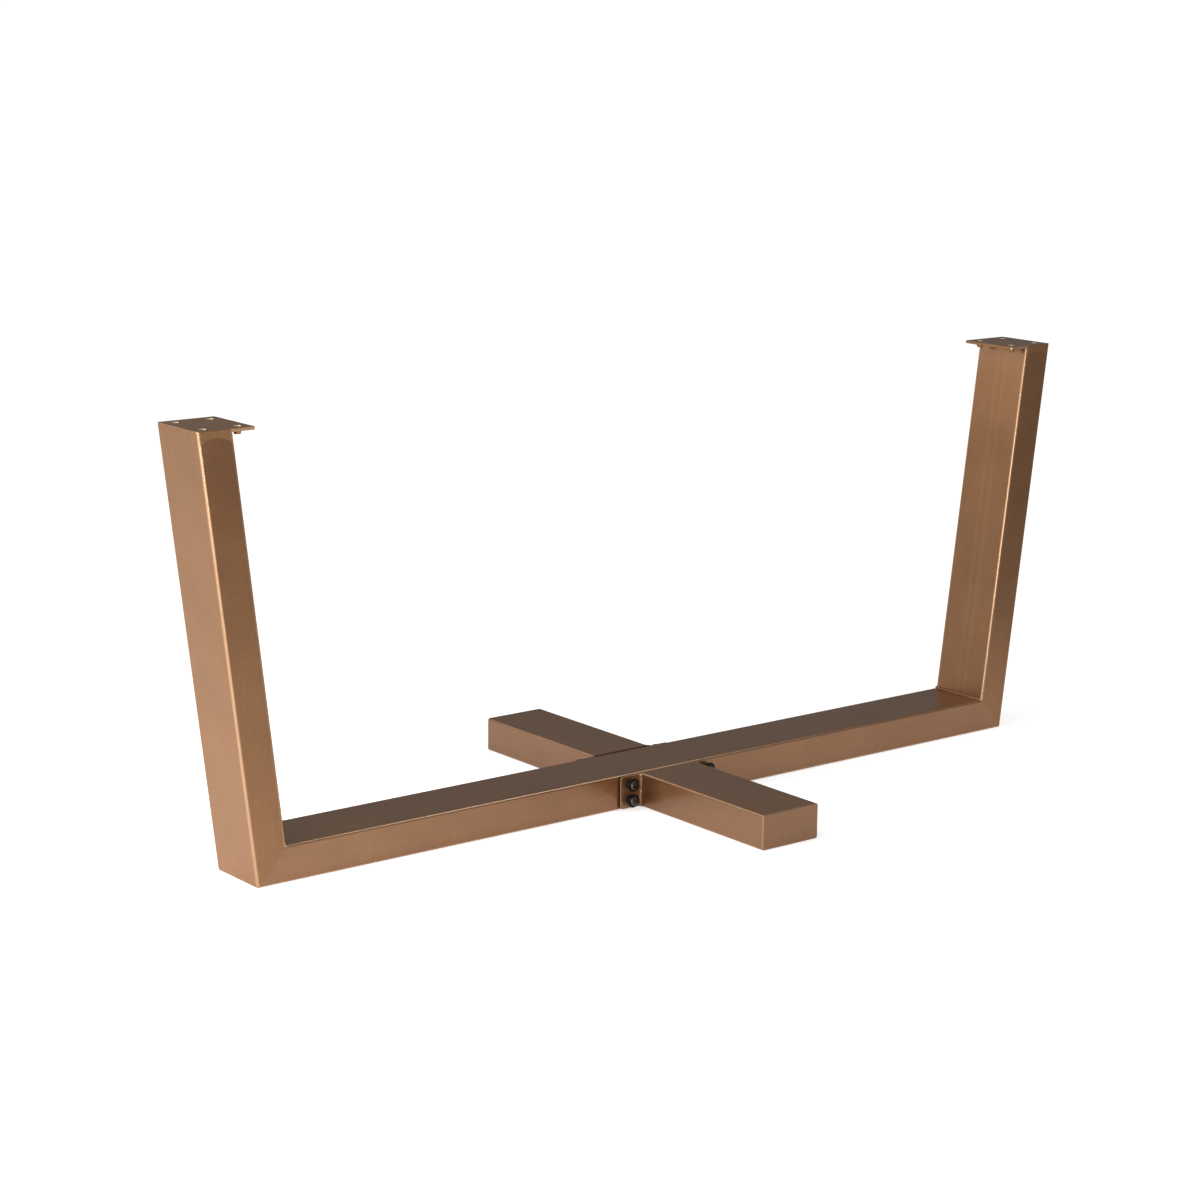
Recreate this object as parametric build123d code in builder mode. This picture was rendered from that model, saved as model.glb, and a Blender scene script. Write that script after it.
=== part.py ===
from build123d import *
from math import atan2, cos, sin, sqrt, tan
import os

# X shaped steel table base, in millimetres. X runs along the long rail, Y along the two
# crossing arms with the front at -Y, and Z is up. The origin is on the floor, under the
# middle of the crossing.

# Overall sizes
overall_height = 720.0
foot_length = 1630.0
top_length = 1810.0
arm_reach = 318.0

# Rectangular tube, the same stock for the rail, the legs and the arms
tube_width = 120.0
tube_height = 60.0
tube_wall = 2.0
tube_corner_r = 4.0
least_inner_r = 0.5

# Top plates, each with four collared holes that were drilled by friction and tapped
plate_length = 100.0
plate_thickness = 5.0
plate_rim_r = 0.6
plate_hole_inset = 20.0
plate_bore_d = 9.0
collar_root_d = 15.0
collar_tip_d = 10.5
collar_height = 7.0

# Flange on the inner end of each arm, a little lower than the arm is high
flange_thickness = 5.0
flange_wing = 44.0
flange_step = 1.5
flange_corner_r = 6.0
flange_rim_r = 0.8
flange_hole_d = 15.0

# Plate that closes the outer end of each arm
cap_thickness = 3.0
cap_rim_r = 1.0

# Fillet welds
weld_leg = 4.0
weld_throat = 3.1

# Bolt rows in each wing of a flange
bolt_inset = 20.0
bolt_spacing_z = 27.0

# M8 screw with a low domed head and a hexagon socket
screw_d = 8.0
screw_length = 25.0
screw_tip_chamfer = 1.0
head_d = 16.5
head_height = 4.4
head_rim_height = 1.0
socket_across_flats = 5.0
socket_depth = 2.6

# Large washer, and how far it stands off the flange while the screw is still slack
washer_d = 24.0
washer_bore_d = 8.4
washer_thickness = 2.0
washer_rim_r = 0.5
washer_standoff = 8.7

# Threaded rivet nut in the wall of the rail
nut_body_d = 11.0
nut_length = 16.0
nut_head_d = 13.0
nut_head_thickness = 1.5
nut_bulge_d = 14.0
nut_bulge_length = 5.0
nut_bulge_r = 1.0

# Worked out from the sizes above
lean = atan2((top_length - foot_length) / 2, overall_height)
rail_side = tube_width / 2
flange_face = rail_side + flange_thickness
arm_end = rail_side + arm_reach
arm_tube_length = arm_reach - flange_thickness - cap_thickness
flange_length = tube_width + 2 * flange_wing
flange_height = tube_height - 2 * flange_step
bolt_x = flange_length / 2 - bolt_inset
under_head = flange_face + washer_standoff + washer_thickness
leg_top = overall_height - plate_thickness
plate_hole_spacing_x = plate_length - 2 * plate_hole_inset
plate_hole_spacing_y = tube_width - 2 * plate_hole_inset

hanging = (Align.CENTER, Align.CENTER, Align.MAX)
sides = {"left": -1, "right": 1}
faces = {"front": -1, "rear": 1}
rows = {"upper": 1, "lower": -1}


def tube_section():
    # Hollow rectangle, drawn in the sketch that is open
    inner_r = max(tube_corner_r - tube_wall, least_inner_r)
    RectangleRounded(tube_width, tube_height, tube_corner_r)
    RectangleRounded(tube_width - 2 * tube_wall, tube_height - 2 * tube_wall, inner_r, mode=Mode.SUBTRACT)


def foot_corner(side):
    # Lower outer corner of the U frame, where the rail and a leg meet
    return Vector(side * foot_length / 2, 0, 0)


def leg_direction(side):
    return Vector(side * sin(lean), 0, cos(lean))


def mitre_plane(side):
    # Halves the corner between the rail and a leg, and faces the leg
    return Plane(origin=foot_corner(side), x_dir=(0, 1, 0), z_dir=leg_direction(side) + Vector(side, 0, 0))


def face_plane(face, distance, x=0.0, z=tube_height / 2):
    # Upright plane at a distance from the middle of the rail, facing out to the front or the rear
    return Plane(origin=(x, face * distance, z), x_dir=(1, 0, 0), z_dir=(0, face, 0))


def save(piece, name):
    piece.part.label = name
    export_step(piece.part, f"parts/{name}.step")


os.makedirs("parts", exist_ok=True)

# Long rail, mitred at both ends, with a hole through each side wall for every rivet nut
with BuildPart() as rail:
    with BuildSketch(Plane(origin=(0, 0, tube_height / 2), x_dir=(0, 1, 0), z_dir=(1, 0, 0))):
        tube_section()
    extrude(amount=foot_length, both=True)
    for side in sides.values():
        split(bisect_by=mitre_plane(side), keep=Keep.BOTTOM)
    for face in faces.values():
        with BuildSketch(face_plane(face, rail_side)):
            with GridLocations(2 * bolt_x, bolt_spacing_z, 2, 2):
                Circle(nut_body_d / 2)
        extrude(amount=-tube_wall, mode=Mode.SUBTRACT)
save(rail, "long_rail")

for hand, side in sides.items():
    # Leaning leg, mitred at the foot and cut level under the top plate
    inward = Vector(-side * cos(lean), 0, sin(lean))
    leg_plane = Plane(
        origin=foot_corner(side) + inward * (tube_height / 2),
        x_dir=(0, 1, 0),
        z_dir=leg_direction(side),
    )
    with BuildPart() as leg:
        with BuildSketch(leg_plane):
            tube_section()
        extrude(amount=2 * overall_height, both=True)
        split(bisect_by=mitre_plane(side), keep=Keep.TOP)
        split(bisect_by=Plane.XY.offset(leg_top), keep=Keep.BOTTOM)
    save(leg, f"{hand}_leg")

    # Fillet weld along the inner corner of the mitre
    crook = foot_corner(side) + (leg_direction(side) - Vector(side, 0, 0)) * (tube_height / cos(lean))
    on_rail = crook - Vector(side, 0, 0) * weld_leg
    on_leg = crook + leg_direction(side) * weld_leg
    crest = crook + (leg_direction(side) - Vector(side, 0, 0)).normalized() * weld_throat
    with BuildPart() as corner_weld:
        with BuildSketch(Plane.XZ):
            with BuildLine():
                Line((crook.X, crook.Z), (on_rail.X, on_rail.Z))
                ThreePointArc((on_rail.X, on_rail.Z), (crest.X, crest.Z), (on_leg.X, on_leg.Z))
                Line((on_leg.X, on_leg.Z), (crook.X, crook.Z))
            make_face()
        extrude(amount=tube_width / 2 - tube_corner_r, both=True)
    save(corner_weld, f"{hand}_corner_weld")

    # Top plate, whose outer edge and corners carry on the surfaces of the leg
    outer_x = side * top_length / 2
    inner_x = outer_x - side * plate_length
    outer_below_x = outer_x - side * plate_thickness * tan(lean)
    hole_middle_x = (outer_x + inner_x) / 2
    with BuildPart() as plate:
        with BuildSketch(Plane.XZ):
            with BuildLine():
                Polyline(
                    (inner_x, leg_top),
                    (outer_below_x, leg_top),
                    (outer_x, overall_height),
                    (inner_x, overall_height),
                    close=True,
                )
            make_face()
        extrude(amount=tube_width / 2, both=True)
        upright_edges = plate.edges().filter_by(Axis.X, reverse=True).filter_by(Axis.Y, reverse=True)
        fillet(upright_edges, tube_corner_r)
        fillet(plate.faces().sort_by(Axis.Z)[-1].outer_wire().edges(), plate_rim_r)
        with Locations((hole_middle_x, 0, leg_top)):
            with GridLocations(plate_hole_spacing_x, plate_hole_spacing_y, 2, 2):
                Cone(collar_tip_d / 2, collar_root_d / 2, collar_height, align=hanging)
        with Locations((hole_middle_x, 0, overall_height)):
            with GridLocations(plate_hole_spacing_x, plate_hole_spacing_y, 2, 2):
                Hole(plate_bore_d / 2)
    save(plate, f"{hand}_top_plate")

for end, face in faces.items():
    # Flange, with clearance holes wide enough for the heads of the rivet nuts
    with BuildPart() as flange:
        with BuildSketch(face_plane(face, rail_side)):
            RectangleRounded(flange_length, flange_height, flange_corner_r)
        extrude(amount=flange_thickness)
        outer_face = flange.faces().sort_by(Axis.Y)[-1 if face > 0 else 0]
        fillet(outer_face.outer_wire().edges(), flange_rim_r)
        with BuildSketch(face_plane(face, rail_side)):
            with GridLocations(2 * bolt_x, bolt_spacing_z, 2, 2):
                Circle(flange_hole_d / 2)
        extrude(amount=flange_thickness, mode=Mode.SUBTRACT)
    save(flange, f"{end}_flange")

    # Arm tube, from the flange to the end cap
    with BuildPart() as arm:
        with BuildSketch(face_plane(face, flange_face)):
            tube_section()
        extrude(amount=arm_tube_length)
    save(arm, f"{end}_arm")

    # End cap, ground flush with the tube
    with BuildPart() as cap:
        with BuildSketch(face_plane(face, arm_end - cap_thickness)):
            RectangleRounded(tube_width, tube_height, tube_corner_r)
        extrude(amount=cap_thickness)
        outer_face = cap.faces().sort_by(Axis.Y)[-1 if face > 0 else 0]
        fillet(outer_face.outer_wire().edges(), cap_rim_r)
    save(cap, f"{end}_end_cap")

    for hand, side in sides.items():
        # Fillet weld between the flange and one side of the arm
        root_x = side * tube_width / 2
        toe_x = root_x + side * weld_leg
        root_y = face * flange_face
        toe_y = root_y + face * weld_leg
        crest_x = root_x + side * weld_throat / sqrt(2)
        crest_y = root_y + face * weld_throat / sqrt(2)
        with BuildPart() as arm_weld:
            with BuildSketch(Plane.XY.offset(flange_step)):
                with BuildLine():
                    Line((root_x, root_y), (toe_x, root_y))
                    ThreePointArc((toe_x, root_y), (crest_x, crest_y), (root_x, toe_y))
                    Line((root_x, toe_y), (root_x, root_y))
                make_face()
            extrude(amount=flange_height)
        save(arm_weld, f"{end}_arm_weld_{hand}")

        for level, row in rows.items():
            bolt_place = f"{end}_{level}_{hand}"
            bolt_z = tube_height / 2 + row * bolt_spacing_z / 2

            # Rivet nut, with its head outside the wall and its crimped bulge behind it
            with BuildPart() as nut:
                with BuildSketch(face_plane(face, rail_side, side * bolt_x, bolt_z)):
                    Circle(nut_head_d / 2)
                extrude(amount=nut_head_thickness)
                with BuildSketch(face_plane(face, rail_side, side * bolt_x, bolt_z)):
                    Circle(nut_body_d / 2)
                extrude(amount=-nut_length)
                with BuildSketch(face_plane(face, rail_side - tube_wall, side * bolt_x, bolt_z)):
                    Circle(nut_bulge_d / 2)
                extrude(amount=-nut_bulge_length)
                bulge_rims = nut.edges().filter_by(GeomType.CIRCLE).group_by(lambda rim: rim.radius)[-1]
                fillet(bulge_rims.sort_by(Axis.Y)[0 if face > 0 else -1], nut_bulge_r)
                with BuildSketch(face_plane(face, rail_side + nut_head_thickness, side * bolt_x, bolt_z)):
                    Circle(screw_d / 2)
                extrude(amount=-(nut_head_thickness + nut_length), mode=Mode.SUBTRACT)
            save(nut, f"rivet_nut_{bolt_place}")

            # Washer, hanging on the screw against the underside of its head
            with BuildPart() as washer:
                with BuildSketch(face_plane(face, under_head - washer_thickness, side * bolt_x, bolt_z)):
                    Circle(washer_d / 2)
                    Circle(washer_bore_d / 2, mode=Mode.SUBTRACT)
                extrude(amount=washer_thickness)
                outer_face = washer.faces().filter_by(Axis.Y).sort_by(Axis.Y)[-1 if face > 0 else 0]
                fillet(outer_face.outer_wire().edges(), washer_rim_r)
            save(washer, f"washer_{bolt_place}")

            # Screw, with its domed head outward and its thread in the rivet nut
            with BuildPart() as screw:
                with BuildSketch(face_plane(face, under_head, side * bolt_x, bolt_z)):
                    Circle(head_d / 2)
                extrude(amount=head_height)
                outer_face = screw.faces().filter_by(Axis.Y).sort_by(Axis.Y)[-1 if face > 0 else 0]
                fillet(outer_face.outer_wire().edges(), head_height - head_rim_height)
                with BuildSketch(face_plane(face, under_head, side * bolt_x, bolt_z)):
                    Circle(screw_d / 2)
                extrude(amount=-screw_length)
                tip_face = screw.faces().filter_by(Axis.Y).sort_by(Axis.Y)[0 if face > 0 else -1]
                chamfer(tip_face.outer_wire().edges(), screw_tip_chamfer)
                with BuildSketch(face_plane(face, under_head + head_height, side * bolt_x, bolt_z)):
                    RegularPolygon(socket_across_flats / 2, 6, major_radius=False)
                extrude(amount=-socket_depth, mode=Mode.SUBTRACT)
            save(screw, f"screw_{bolt_place}")
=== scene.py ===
import bmesh
import bpy
from math import atan2, cos, pi, radians, sin, tan
from mathutils import Matrix, Vector


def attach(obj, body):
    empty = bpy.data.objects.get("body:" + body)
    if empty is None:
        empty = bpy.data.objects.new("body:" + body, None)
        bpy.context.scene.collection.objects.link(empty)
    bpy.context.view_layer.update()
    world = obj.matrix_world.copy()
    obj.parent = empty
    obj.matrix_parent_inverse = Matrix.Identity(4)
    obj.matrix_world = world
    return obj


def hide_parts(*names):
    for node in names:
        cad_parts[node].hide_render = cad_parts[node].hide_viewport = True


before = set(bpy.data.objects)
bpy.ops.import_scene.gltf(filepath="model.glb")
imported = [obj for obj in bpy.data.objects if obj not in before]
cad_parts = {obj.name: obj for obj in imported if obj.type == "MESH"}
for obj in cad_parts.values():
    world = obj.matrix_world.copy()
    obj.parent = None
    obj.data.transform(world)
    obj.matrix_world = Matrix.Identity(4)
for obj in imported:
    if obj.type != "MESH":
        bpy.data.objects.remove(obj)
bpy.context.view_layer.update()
mm = 0.001
maths = "ShaderNodeMath"  # the node used most
print("frame loaded:", len(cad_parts), "nodes")


def linearColour(code):  # sRGB hex to the linear values that Blender's sockets hold
    parts = [int(code[i:i + 2], 16) / 255 for i in (1, 3, 5)]
    return tuple(c / 12.92 if c <= 0.04045 else ((c + 0.055) / 1.055) ** 2.4 for c in parts) + (1.0,)


def addNode(tree, kind, settings=None, inputs=None):
    # Settings may be just the operation's name, and inputs a list in order. A node or a socket among the
    # inputs is linked, and anything else is set on the new node itself
    node = tree.nodes.new(kind)
    if isinstance(settings, str):
        settings = {"operation": settings}
    for name, value in (settings or {}).items():
        setattr(node, name, value)
    if isinstance(inputs, list):
        inputs = dict(enumerate(inputs))
    for name, value in (inputs or {}).items():
        source = value.outputs[0] if isinstance(value, bpy.types.Node) else value
        if isinstance(source, bpy.types.NodeSocket):
            tree.links.new(source, node.inputs[name])
        else:
            node.inputs[name].default_value = source
    return node


def addObject(name, data):
    thing = bpy.data.objects.new(name, data)
    bpy.context.scene.collection.objects.link(thing)
    return thing


def newMaterial(name):  # also gives its tree, and the place of each point in the piece's own metres
    material = bpy.data.materials.new(name)
    material.use_nodes = True
    tree = material.node_tree
    tree.nodes.clear()
    return material, tree, addNode(tree, "ShaderNodeTexCoord").outputs["Object"]


# Camera at the photograph's place, worked out from the straight edges of the tubes
cameraView = {
    "azimuth": -38.267,
    "elevation": 12.524,
    "roll": 0.572,
    "distance": 4.8281,
    "target": (-0.0936, 0.0098, 0.3502),
    "lens": 85.9,
    "sensor": 36.0,
}


def makeCamera(view):
    az, el, roll = (radians(view[k]) for k in ("azimuth", "elevation", "roll"))
    back = Vector((sin(az) * cos(el), -cos(az) * cos(el), sin(el)))
    right = (-back).cross(Vector((0, 0, 1))).normalized()
    up = back.cross(right)
    turned = cos(roll) * right + sin(roll) * up
    raised = cos(roll) * up - sin(roll) * right
    data = bpy.data.cameras.new("photoCamera")
    data.lens = view["lens"]
    data.sensor_width = view["sensor"]
    data.clip_end = 1000.0
    camera = addObject("photoCamera", data)
    place = Matrix((turned, raised, back)).transposed().to_4x4()
    place.translation = Vector(view["target"]) + back * view["distance"]
    camera.matrix_world = place
    bpy.context.scene.camera = camera


makeCamera(cameraView)


# U frame: rail and legs of one rectangular tube, mitred and ground flush
uFrame = {
    "footLength": 1630.0,  # all lengths of the pieces are in mm
    "topLength": 1810.0,
    "legTop": 715.0,
    "height": 720.0,
    "tubeWidth": 120.0,
    "tubeHeight": 60.0,
    "wall": 2.0,
    "cornerRadius": 4.0,
    "footRounding": 2.5,
    "crookRounding": 0.3,
    "cornerSteps": 6,
    "footSteps": 6,
    "innerOverrun": 20.0,  # the inner walls are built past the cut at the top of each leg
}


def leanOf(u):
    return atan2((u["topLength"] - u["footLength"]) / 2, u["height"])


# Flange behind the bolts and cap at the far end of each arm; inner and outer are distances from the middle
flange = {
    "width": 208.0,
    "height": 57.0,
    "cornerRadius": 6.0,
    "inner": 60.0,
    "outer": 65.0,
    "rim": 0.8,
    "backRim": 1.8,
    "holeRadius": 7.5,
    "holeSides": 32,
    "cornerSteps": 6,
    "rimSteps": 4,
}
cap = {
    "width": 120.0,
    "height": 60.0,
    "cornerRadius": 4.0,
    "inner": 375.0,
    "outer": 378.0,
    "rim": 1.8,
    "backRim": 0.0,
    "holeRadius": 0.0,
    "holeSides": 32,
    "cornerSteps": 6,
    "rimSteps": 4,
}


# Satin metallic bronze powder coat, sprayed on drawn steel tube and baked: fine metal flake in a clear
# resin. The flake gives a warm, soft shine that falls off slowly, the resin a thin neutral gloss over it,
# and the wiped and ground steel below shows through as faint streaks along each tube and cloudy patches.
bronzeFinish = {
    "dark": "#775439",
    "mid": "#845F41",
    "light": "#916A4A",
    "edgeHighlight": "#DDB592",  # painted highlight: a pale tone mixed in on the rounded edges, standing in for the lamps' highlights there
    "edgeHighlightWidth": {"rail": 3.2, "legs": 5.0, "arms": 2.8, "flanges": 2.2},
    "edgeHighlightShare": {"rail": 0.35, "legs": 0.3, "arms": 0.12, "flanges": 0.12},
    "creviceShade": "#1C130D",  # painted shade: the sides of each flange darken to near black towards the narrow gap behind it
    "creviceShadeDepth": 3.4,
    "creviceShadeBlend": 0.5,
    "edgeTint": "#FFF2E6",  # the flake keeps some of its warmth at a glancing angle
    "metallic": 0.85,
    "roughness": {"rail": 0.34, "legs": 0.34, "arms": 0.44, "flanges": 0.46},
    "roughShares": {"cloud": 0.12, "streak": 0.016},
    "coatWeight": {"rail": 0.35, "legs": 0.1, "arms": 0.42, "flanges": 0.35},
    "coatRoughness": 0.09,
    "toneShares": {"grain": 1.4, "streak": 0.15, "cloud": 1.0},  # how much each pattern adds to the tone
    "toneMiddle": 1.275,
    "toneContrast": 0.9,
    # painted light: raises the flanges' tone so they look lighter than the rest of the same coat
    "flangeLightLift": 0.3,
    "cloudSize": 85.0,  # patches of thicker and thinner coat, mm
    "streakLength": 420.0,  # drawing and wiping marks along the tube, mm
    "streakWidth": 7.0,
    "grainSize": 1.7,  # the flake is about 0.05 mm; drawn this coarse so that it shows in the render
    "waveSize": 130.0,  # the walls of the tube are not quite flat, mm
    "peelSize": 3.2,  # orange peel of the baked powder, mm
    "heights": {"peel": 0.003, "wave": 0.06},
    "groundReach": 7.0,  # below each top plate the front and rear were ground, in a shallow arch, mm
    "groundDrop": 11.0,
    "groundDepth": 1.0,  # only the outermost mm of the front and rear
    "groundSlope": 0.09,
    "groundTone": 0.15,  # tone for each mm above the arch, up to a limit
    "groundToneLimit": 0.25,
    "seamPlaces": (6.0, -12.0),  # edges of the tube's own scraped weld seam, mm off its middle
    "seamWidth": 4.5,
    "seamHeight": 0.03,
    "seamTone": 0.18,
}


def bronzeCoat(along, f):
    material, tree, place = newMaterial("bronzePowderCoat" + along.capitalize())
    u = uFrame
    lean = leanOf(u)
    x, y, z = addNode(tree, "ShaderNodeSeparateXYZ", inputs=[place]).outputs
    if along == "legs":  # here x runs across the leaning leg, measured at the floor
        hand = addNode(tree, maths, "ABSOLUTE", [x])
        slope = addNode(tree, maths, "MULTIPLY", [z, tan(lean)])
        x = addNode(tree, maths, "SUBTRACT", [hand, slope])

    # Across each tube the marks are close together, along it they are drawn out
    drawn = [x, y, z]
    axis = {"rail": 0, "arms": 1, "legs": 2}.get(along)
    if axis is not None:
        squeeze = f["streakWidth"] / f["streakLength"]
        drawn[axis] = addNode(tree, maths, "MULTIPLY", [drawn[axis], squeeze])
    drawn = addNode(tree, "ShaderNodeCombineXYZ", inputs=drawn)
    patterns = {  # what each noise reads, its size in mm, detail and seed
        "cloud": (place, f["cloudSize"], 3.0, 0.0),
        "streak": (drawn, f["streakWidth"], 2.0, 4.0),
        "grain": (place, f["grainSize"], 1.0, 9.0),
        "wave": (place, f["waveSize"], 1.0, 2.0),
        "peel": (place, f["peelSize"], 1.0, 6.0),
    }
    noise = {}
    for pattern, (vector, size, detail, seed) in patterns.items():
        noise[pattern] = addNode(tree, "ShaderNodeTexNoise", {"noise_dimensions": "4D"}, {
            "Vector": vector, "Scale": 1 / (size * mm), "Detail": detail, "Roughness": 0.5, "W": seed})

    tone, height, rough = 0.0, 0.0, f["roughness"][along]
    for pattern, share in f["toneShares"].items():
        tone = addNode(tree, maths, "MULTIPLY_ADD", [noise[pattern], share, tone])
    tone = addNode(tree, maths, "SUBTRACT", [tone, f["toneMiddle"]])
    tone = addNode(tree, maths, "MULTIPLY_ADD", [tone, f["toneContrast"], 0.5])
    for pattern, size in f["heights"].items():
        height = addNode(tree, maths, "MULTIPLY_ADD", [noise[pattern], size * mm, height])
    for pattern, share in f["roughShares"].items():
        off = addNode(tree, maths, "SUBTRACT", [noise[pattern], 0.5])
        rough = addNode(tree, maths, "MULTIPLY_ADD", [off, share, rough])

    def inside(half, value, middle=0.0):  # how far a point is inside the faces on either side of a middle
        off = addNode(tree, maths, "SUBTRACT", [value, middle * mm])
        off = addNode(tree, maths, "ABSOLUTE", [off])
        return addNode(tree, maths, "SUBTRACT", [half * mm, off])

    # The faces that meet in the piece's rounded edges
    halfWidth, halfHeight = u["tubeWidth"] / 2, u["tubeHeight"] / 2
    front = 1.0
    if along == "rail":
        side, flat = inside(halfWidth, y), inside(halfHeight, z, halfHeight)
    if along == "arms":
        side, flat = inside(halfWidth, x), inside(halfHeight, z, halfHeight)
        front = inside(cap["outer"], y)
    if along == "flanges":
        # Painted light: the flanges are drawn lighter than the rest of the coat
        tone = addNode(tree, maths, "ADD", [tone, f["flangeLightLift"]])
        side, flat = inside(flange["width"] / 2, x), inside(flange["height"] / 2, z, halfHeight)
        front = inside(flange["outer"], y)
    if along == "legs":
        wide = u["tubeHeight"] / cos(lean)
        middle = (u["footLength"] - wide) / 2
        side, flat = inside(halfWidth, y), inside(wide / 2, x, middle)
        across = addNode(tree, maths, "SUBTRACT", [x, middle * mm])
        across = addNode(tree, maths, "DIVIDE", [across, wide / 2 * mm])
        arch = addNode(tree, maths, "POWER", [across, 2.0])
        drop, least = f["groundDrop"] * mm, f["groundReach"] * mm
        arch = addNode(tree, maths, "MULTIPLY_ADD", [arch, drop, least])
        below = addNode(tree, maths, "SUBTRACT", [u["legTop"] * mm, z])
        ground = addNode(tree, maths, "SUBTRACT", [arch, below])
        ground = addNode(tree, maths, "MAXIMUM", [ground, 0.0])
        onFace = addNode(tree, maths, "LESS_THAN", [side, f["groundDepth"] * mm])
        ground = addNode(tree, maths, "MULTIPLY", [ground, onFace])
        height = addNode(tree, maths, "MULTIPLY_ADD", [ground, f["groundSlope"], height])
        lift = addNode(tree, maths, "MULTIPLY", [ground, f["groundTone"] / mm])
        lift = addNode(tree, maths, "MINIMUM", [lift, f["groundToneLimit"]])
        tone = addNode(tree, maths, "ADD", [tone, lift])
        outerFace = addNode(tree, maths, "LESS_THAN", [across, 0.0])
        for seam in f["seamPlaces"]:
            ridge = y
            for operation, *rest in (("SUBTRACT", seam * mm), ("DIVIDE", f["seamWidth"] * mm), ("POWER", 2.0),
                                     ("MULTIPLY", -1.0), ("EXPONENT",), ("MULTIPLY", outerFace)):
                ridge = addNode(tree, maths, operation, [ridge, *rest])
            height = addNode(tree, maths, "MULTIPLY_ADD", [ridge, f["seamHeight"] * mm, height])
            tone = addNode(tree, maths, "MULTIPLY_ADD", [ridge, f["seamTone"], tone])

    # The second smallest of the three distances says how near the closest edge is; near it the painted
    # highlight is mixed in
    nearer = addNode(tree, maths, "MINIMUM", [side, flat])
    farther = addNode(tree, maths, "MAXIMUM", [side, flat])
    farther = addNode(tree, maths, "MINIMUM", [farther, front])
    edge = addNode(tree, maths, "MAXIMUM", [nearer, farther])
    for operation, *rest in (("DIVIDE", f["edgeHighlightWidth"][along] * mm), ("MULTIPLY_ADD", -1.0, 1.0),
                             ("MAXIMUM", 0.0), ("MINIMUM", 0.5), ("MULTIPLY", 2 * f["edgeHighlightShare"][along])):
        edge = addNode(tree, maths, operation, [edge, *rest])

    ramp = addNode(tree, "ShaderNodeValToRGB", inputs=[tone])
    stops = ramp.color_ramp.elements
    stops[0].position, stops[0].color = 0.0, linearColour(f["dark"])
    stops[1].position, stops[1].color = 1.0, linearColour(f["light"])
    stops.new(0.5).color = linearColour(f["mid"])
    # Painted highlight: the pale edge tone is mixed into the colour along the rounded edges
    colour = addNode(tree, "ShaderNodeMix", {"data_type": "RGBA"}, {
        0: edge, 6: ramp, 7: linearColour(f["edgeHighlight"])}).outputs[2]
    if along == "flanges":
        # Painted shade: towards the rail the flange's sides are mixed to near black, where shade falls in the
        # gap behind it
        shadeStart = (flange["outer"] - flange["inner"] - f["creviceShadeDepth"]) * mm
        gapShade = front
        for operation, *rest in (("SUBTRACT", shadeStart), ("DIVIDE", f["creviceShadeBlend"] * mm),
                                 ("MINIMUM", 1.0), ("MAXIMUM", 0.0)):
            gapShade = addNode(tree, maths, operation, [gapShade, *rest])
        colour = addNode(tree, "ShaderNodeMix", {"data_type": "RGBA"}, {
            0: gapShade, 6: colour, 7: linearColour(f["creviceShade"])}).outputs[2]
    bump = addNode(tree, "ShaderNodeBump", inputs={"Strength": 1.0, "Distance": 1.0, "Height": height})
    shader = addNode(tree, "ShaderNodeBsdfPrincipled", inputs={
        "Base Color": colour,
        "Metallic": f["metallic"],
        "Roughness": rough,
        "Normal": bump,
        "Specular Tint": linearColour(f["edgeTint"]),
        "Coat Weight": f["coatWeight"][along],
        "Coat Roughness": f["coatRoughness"],
    })
    addNode(tree, "ShaderNodeOutputMaterial", inputs={"Surface": shader})
    return material


# Bare steel: the tap cut the coat out of the holes, so the thread shines light grey with fine turns
threadFinish = {
    "dark": "#9C8A70",
    "light": "#CDBDA0",
    "pitch": 1.0,
    "waveUnits": 20.0,  # the wave texture counts this many units to one wave
    "depth": 0.3,
    "strength": 0.6,
    "roughness": 0.6,
}


def cutSteel(f):
    material, tree, place = newMaterial("cutSteelThread")
    turns = addNode(tree, "ShaderNodeTexWave", {"bands_direction": "Z", "wave_profile": "TRI"}, {
        "Vector": place, "Scale": 1 / (f["pitch"] * mm) / f["waveUnits"]}).outputs["Fac"]
    ramp = addNode(tree, "ShaderNodeValToRGB", inputs=[turns])
    stops = ramp.color_ramp.elements
    stops[0].color, stops[1].color = linearColour(f["dark"]), linearColour(f["light"])
    bump = addNode(tree, "ShaderNodeBump", inputs={
        "Strength": f["strength"], "Distance": f["depth"] * mm, "Height": turns})
    shader = addNode(tree, "ShaderNodeBsdfPrincipled", inputs={
        "Base Color": ramp, "Metallic": 1.0, "Roughness": f["roughness"], "Normal": bump})
    addNode(tree, "ShaderNodeOutputMaterial", inputs={"Surface": shader})
    return material


# Black oxide on steel: a dark bloom in the metal's own skin. The heads are oiled and show a grey shine,
# the threads, washers and rivet nuts are dry and blacker
oiledOxide = {
    "dark": "#403D3B",
    "light": "#54514E",
    "roughness": (0.2, 0.28),
    "metallic": 1.0,
    "shine": 0.5,
    "cloudSize": 3.0,
}
dryOxide = {
    "dark": "#0A0909",
    "light": "#131212",
    "roughness": (0.42, 0.55),
    "metallic": 0.0,
    "shine": 0.2,
    "cloudSize": 3.0,
}


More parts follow.
